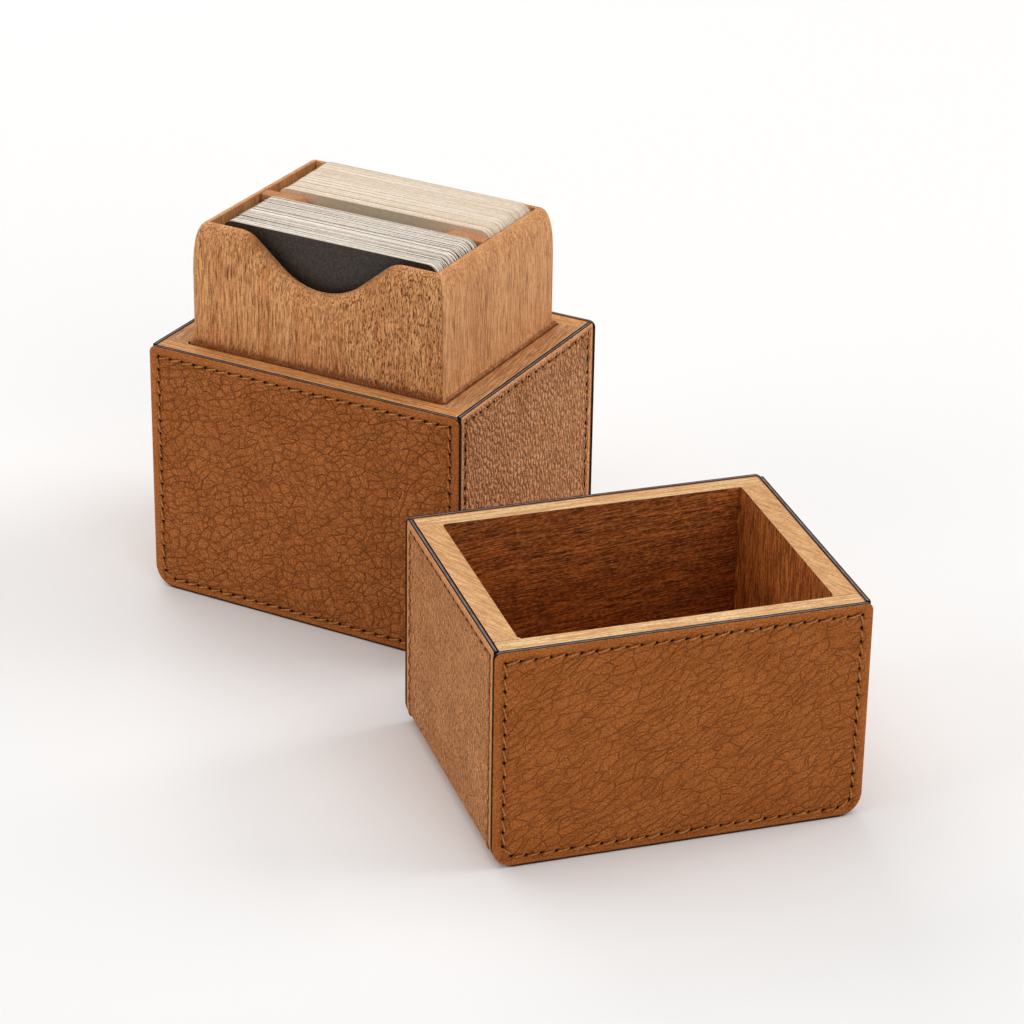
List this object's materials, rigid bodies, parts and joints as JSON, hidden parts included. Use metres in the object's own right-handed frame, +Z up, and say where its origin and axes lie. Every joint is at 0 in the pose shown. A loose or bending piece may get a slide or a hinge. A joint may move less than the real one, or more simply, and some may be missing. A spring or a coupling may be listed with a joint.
{
  "type": "playing card holder",
  "caption": "Leather-clad wooden box for playing cards: a base with a raised tray, notched for the finger and divided between the decks, and a deep lid that stands beside it.",
  "frame": {"origin": "centre of the base's underside, on the surface that the base and the lid stand on", "axes": "+Z up, the base's front panel faces -Y, and the open lid stands to the right and in front, towards +X and -Y, turned by 46.2 degrees about Z"},
  "size_m": [0.2114, 0.1554, 0.1026],
  "materials": {
    "leather": "pebbled, satin",
    "case_wood": "oiled, matt",
    "tray_wood": "oiled, matt",
    "white_card": "coated card",
    "cream_card": "coated card",
    "black_card": "coated card",
    "taupe_card": "coated card"
  },
  "bodies": {
    "base": {"base_floor_board": "case_wood", "base_front_board": "case_wood", "base_back_board": "case_wood", "base_left_board": "case_wood", "base_right_board": "case_wood", "base_leather_front": "leather", "base_leather_back": "leather", "base_leather_wrap": "leather", "tray_front_wall": "tray_wood", "tray_back_wall": "tray_wood", "tray_left_wall": "tray_wood", "tray_right_wall": "tray_wood", "tray_divider": "tray_wood", "tray_floor": "tray_wood"},
    "front_deck": {"front_deck_cards": "white_card", "front_deck_face_card": "black_card", "front_deck_rear_card": "black_card"},
    "back_deck": {"back_deck_cards": "cream_card", "back_deck_face_card": "taupe_card", "back_deck_rear_card": "taupe_card"},
    "lid": {"lid_floor_board": "case_wood", "lid_front_board": "case_wood", "lid_back_board": "case_wood", "lid_left_board": "case_wood", "lid_right_board": "case_wood", "lid_leather_front": "leather", "lid_leather_back": "leather", "lid_leather_wrap": "leather"}
  },
  "joints": [
    {"name": "lid_lift", "type": "slide", "parent": "base", "child": "lid", "axis": [0, 0, 1], "range_m": [0, 0.12]},
    {"name": "front_deck_lift", "type": "slide", "parent": "base", "child": "front_deck", "axis": [0, 0, 1], "range_m": [0, 0.1]},
    {"name": "back_deck_lift", "type": "slide", "parent": "base", "child": "back_deck", "axis": [0, 0, 1], "range_m": [0, 0.1]}
  ]
}
